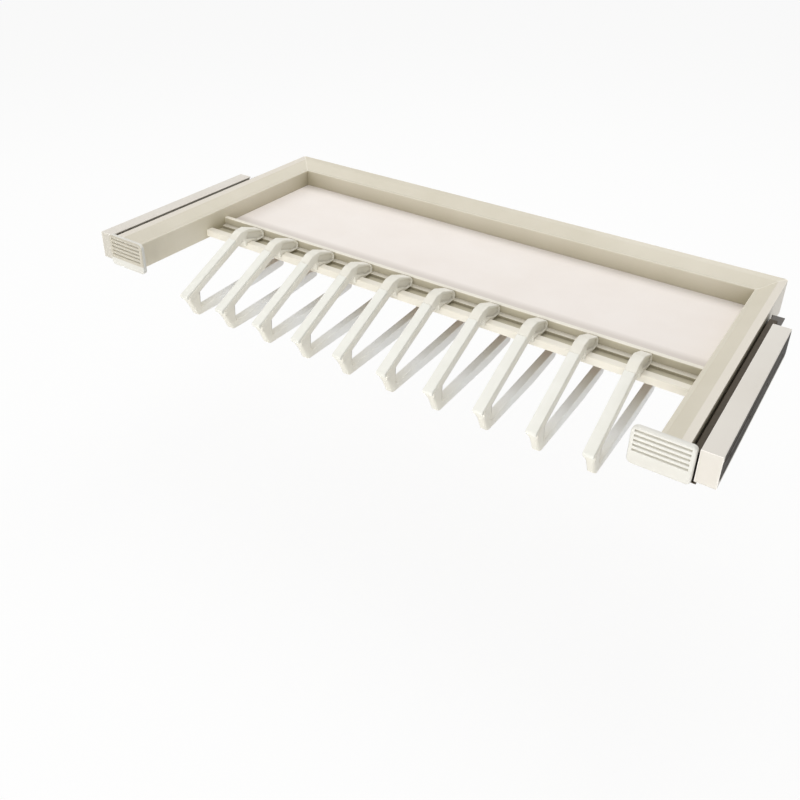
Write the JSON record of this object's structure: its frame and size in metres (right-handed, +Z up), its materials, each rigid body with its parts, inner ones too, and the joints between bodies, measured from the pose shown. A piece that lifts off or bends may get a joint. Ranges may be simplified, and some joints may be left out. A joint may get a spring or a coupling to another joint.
{
  "type": "pull-out trouser rack",
  "caption": "Pull-out wardrobe frame with a shallow lined tray and a row of folded trouser hangers that slide on a front rail, on ball-bearing side runners.",
  "frame": {"origin": "middle of the width and depth, at the level of the hangers' lowest points", "axes": "+X to the right, +Y to the back of the wardrobe, +Z up; the rack pulls out towards -Y"},
  "size_m": [0.864, 0.417, 0.107],
  "materials": {
    "champagne_paint": "satin powder coat",
    "cast_zinc": "as cast",
    "zinc_steel": "zinc plated",
    "tray_board": "hardboard",
    "tray_liner": "short flock",
    "grip_plastic": "satin",
    "runner_steel": "dark zinc plated",
    "cage_steel": "bright",
    "ball_steel": "polished",
    "cover_plastic": "satin",
    "dark_steel": "satin",
    "black_rubber": "matt",
    "hanger_plastic": "satin",
    "pad_rubber": "matt"
  },
  "bodies": {
    "cabinet_side": {"left_cabinet_member": "runner_steel", "right_cabinet_member": "runner_steel", "left_side_cover": "cover_plastic", "right_side_cover": "cover_plastic", "left_wall_rail": "dark_steel", "right_wall_rail": "dark_steel", "left_tail_bracket": "dark_steel", "right_tail_bracket": "dark_steel", "runner_screws": "zinc_steel", "tail_screws": "zinc_steel", "rear_bumpers": "black_rubber"},
    "pull_out": {"back_rail": "champagne_paint", "left_arm": "champagne_paint", "right_arm": "champagne_paint", "left_corner_insert": "cast_zinc", "right_corner_insert": "cast_zinc", "corner_screws": "zinc_steel", "cross_rail": "champagne_paint", "cross_rail_screws": "zinc_steel", "tray_board": "tray_board", "tray_liner": "tray_liner", "tray_clips": "zinc_steel", "tray_screws": "zinc_steel", "left_grip": "grip_plastic", "right_grip": "grip_plastic", "left_drawer_member": "runner_steel", "right_drawer_member": "runner_steel", "arm_screws": "zinc_steel"},
    "left_middle": {"left_mid_member": "runner_steel"},
    "left_outer_train": {"left_outer_cage": "cage_steel", "left_outer_balls": "ball_steel"},
    "left_inner_train": {"left_inner_cage": "cage_steel", "left_inner_balls": "ball_steel"},
    "right_middle": {"right_mid_member": "runner_steel"},
    "right_outer_train": {"right_outer_cage": "cage_steel", "right_outer_balls": "ball_steel"},
    "right_inner_train": {"right_inner_cage": "cage_steel", "right_inner_balls": "ball_steel"},
    "hanger_01": {"hanger_01": "hanger_plastic", "hanger_pad_01": "pad_rubber"},
    "hanger_02": {"hanger_02": "hanger_plastic", "hanger_pad_02": "pad_rubber"},
    "hanger_03": {"hanger_03": "hanger_plastic", "hanger_pad_03": "pad_rubber"},
    "hanger_04": {"hanger_04": "hanger_plastic", "hanger_pad_04": "pad_rubber"},
    "hanger_05": {"hanger_05": "hanger_plastic", "hanger_pad_05": "pad_rubber"},
    "hanger_06": {"hanger_06": "hanger_plastic", "hanger_pad_06": "pad_rubber"},
    "hanger_07": {"hanger_07": "hanger_plastic", "hanger_pad_07": "pad_rubber"},
    "hanger_08": {"hanger_08": "hanger_plastic", "hanger_pad_08": "pad_rubber"},
    "hanger_09": {"hanger_09": "hanger_plastic", "hanger_pad_09": "pad_rubber"},
    "hanger_10": {"hanger_10": "hanger_plastic", "hanger_pad_10": "pad_rubber"}
  },
  "joints": [
    {"name": "pull", "type": "slide", "parent": "cabinet_side", "child": "pull_out", "axis": [0, -1, 0], "range_m": [0, 0.3]},
    {"name": "left_middle_slide", "type": "slide", "parent": "cabinet_side", "child": "left_middle", "axis": [0, -1, 0], "range_m": [0, 0.15]},
    {"name": "left_outer_train_slide", "type": "slide", "parent": "cabinet_side", "child": "left_outer_train", "axis": [0, -1, 0], "range_m": [0, 0.075]},
    {"name": "left_inner_train_slide", "type": "slide", "parent": "cabinet_side", "child": "left_inner_train", "axis": [0, -1, 0], "range_m": [0, 0.225]},
    {"name": "right_middle_slide", "type": "slide", "parent": "cabinet_side", "child": "right_middle", "axis": [0, -1, 0], "range_m": [0, 0.15]},
    {"name": "right_outer_train_slide", "type": "slide", "parent": "cabinet_side", "child": "right_outer_train", "axis": [0, -1, 0], "range_m": [0, 0.075]},
    {"name": "right_inner_train_slide", "type": "slide", "parent": "cabinet_side", "child": "right_inner_train", "axis": [0, -1, 0], "range_m": [0, 0.225]},
    {"name": "hanger_01_slide", "type": "slide", "parent": "pull_out", "child": "hanger_01", "axis": [1, 0, 0], "range_m": [-0.025, 0.025]},
    {"name": "hanger_02_slide", "type": "slide", "parent": "pull_out", "child": "hanger_02", "axis": [1, 0, 0], "range_m": [-0.025, 0.025]},
    {"name": "hanger_03_slide", "type": "slide", "parent": "pull_out", "child": "hanger_03", "axis": [1, 0, 0], "range_m": [-0.025, 0.025]},
    {"name": "hanger_04_slide", "type": "slide", "parent": "pull_out", "child": "hanger_04", "axis": [1, 0, 0], "range_m": [-0.025, 0.025]},
    {"name": "hanger_05_slide", "type": "slide", "parent": "pull_out", "child": "hanger_05", "axis": [1, 0, 0], "range_m": [-0.025, 0.025]},
    {"name": "hanger_06_slide", "type": "slide", "parent": "pull_out", "child": "hanger_06", "axis": [1, 0, 0], "range_m": [-0.025, 0.025]},
    {"name": "hanger_07_slide", "type": "slide", "parent": "pull_out", "child": "hanger_07", "axis": [1, 0, 0], "range_m": [-0.025, 0.025]},
    {"name": "hanger_08_slide", "type": "slide", "parent": "pull_out", "child": "hanger_08", "axis": [1, 0, 0], "range_m": [-0.025, 0.025]},
    {"name": "hanger_09_slide", "type": "slide", "parent": "pull_out", "child": "hanger_09", "axis": [1, 0, 0], "range_m": [-0.025, 0.025]},
    {"name": "hanger_10_slide", "type": "slide", "parent": "pull_out", "child": "hanger_10", "axis": [1, 0, 0], "range_m": [-0.025, 0.025]}
  ],
  "couplings": [
    {"joint": "left_middle_slide", "follows": "pull", "ratio": 0.5},
    {"joint": "left_outer_train_slide", "follows": "pull", "ratio": 0.25},
    {"joint": "left_inner_train_slide", "follows": "pull", "ratio": 0.75},
    {"joint": "right_middle_slide", "follows": "pull", "ratio": 0.5},
    {"joint": "right_outer_train_slide", "follows": "pull", "ratio": 0.25},
    {"joint": "right_inner_train_slide", "follows": "pull", "ratio": 0.75}
  ]
}
